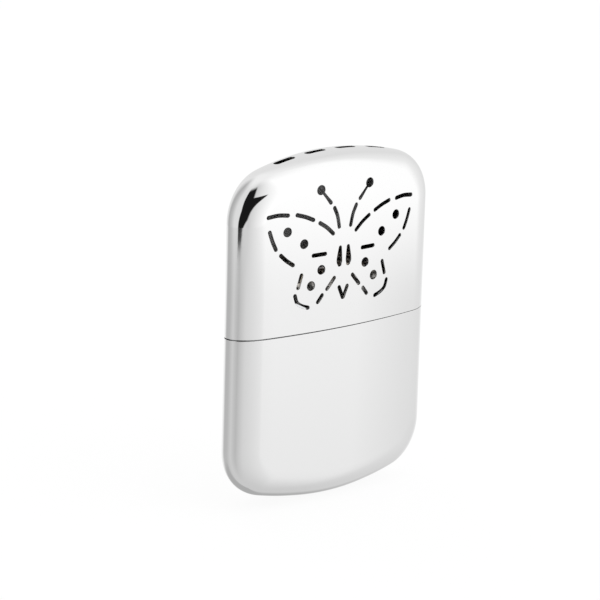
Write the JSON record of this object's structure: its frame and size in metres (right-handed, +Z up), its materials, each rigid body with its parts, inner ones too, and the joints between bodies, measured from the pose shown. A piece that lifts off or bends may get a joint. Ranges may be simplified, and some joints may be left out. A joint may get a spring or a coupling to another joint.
{
  "type": "catalytic hand warmer",
  "caption": "Flat oval pocket warmer in chromed sheet: a fuel tank with a filler neck, a push-on catalyst burner, and a lift-off cap with a butterfly of vents.",
  "frame": {"origin": "under the middle of the closed case, at the lowest point of its bottom", "axes": "+Z up along the case's height, X across its width, -Y towards the front face with the vent pattern"},
  "size_m": [0.068, 0.016, 0.095],
  "materials": {
    "case_chrome": "polished chrome plate",
    "plate_steel": "rolled steel plate with faint grain",
    "collar_steel": "satin steel band, rubbed bright where the cap slides",
    "spring_steel": "bright spring strip",
    "rivet_steel": "dull steel",
    "neck_brass": "drawn brass, lightly dulled",
    "burner_steel": "stainless sheet with a slight heat tint",
    "gauze_steel": "steel wire and strip",
    "catalyst_fibre": "glass-fibre mat, grey from its platinum",
    "felt": "pressed felt",
    "cotton": "loose cotton wadding"
  },
  "bodies": {
    "tank": {"tank_shell": "case_chrome", "tank_top_plate": "plate_steel", "collar_band": "collar_steel", "cap_spring_left": "spring_steel", "cap_spring_right": "spring_steel", "cap_spring_rivets": "rivet_steel", "filler_neck": "neck_brass", "neck_screen": "plate_steel", "wick_felt": "felt", "cotton_wadding": "cotton"},
    "cap": {"cap_shell": "case_chrome"},
    "burner": {"burner_skirt": "burner_steel", "burner_tray": "burner_steel", "burner_gauze": "gauze_steel", "catalyst_mat": "catalyst_fibre", "catalyst_frame": "gauze_steel", "burner_cage": "burner_steel", "burner_clip_left": "burner_steel", "burner_clip_right": "burner_steel"}
  },
  "joints": [
    {"name": "cap_lift", "type": "slide", "parent": "tank", "child": "cap", "axis": [0, 0, 1], "range_m": [0, 0.06]},
    {"name": "burner_lift", "type": "slide", "parent": "tank", "child": "burner", "axis": [0, 0, 1], "range_m": [0, 0.023]}
  ]
}
